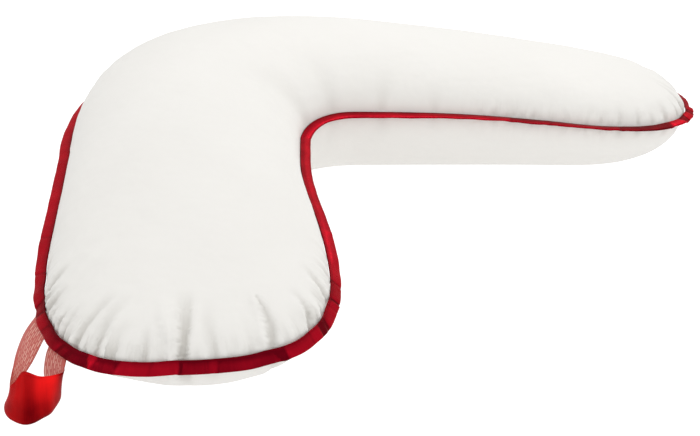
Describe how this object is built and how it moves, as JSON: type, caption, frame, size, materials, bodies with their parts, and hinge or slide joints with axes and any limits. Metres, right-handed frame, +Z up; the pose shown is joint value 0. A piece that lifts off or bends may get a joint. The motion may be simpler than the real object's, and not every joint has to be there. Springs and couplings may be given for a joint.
{
  "type": "boomerang pillow",
  "caption": "White V-shaped filled pillow with a flat red satin binding sewn round its seam and a red satin tape loop sewn in at one corner.",
  "frame": {"origin": "on the floor under the middle of the object's box", "axes": "X runs from the left arm to the right arm, Y from the crook to the elbow, Z up from the floor"},
  "size_m": [1.0468, 0.6416, 0.177],
  "materials": {
    "cover": "matte white woven cotton",
    "binding": "red satin, folded flat and stitched",
    "tape": "red satin tape, pink and printed with plain broken dashes on its inner face"
  },
  "bodies": {
    "root": {"pillow": "cover", "edge_binding": "binding", "tape_loop": "tape"}
  },
  "joints": []
}
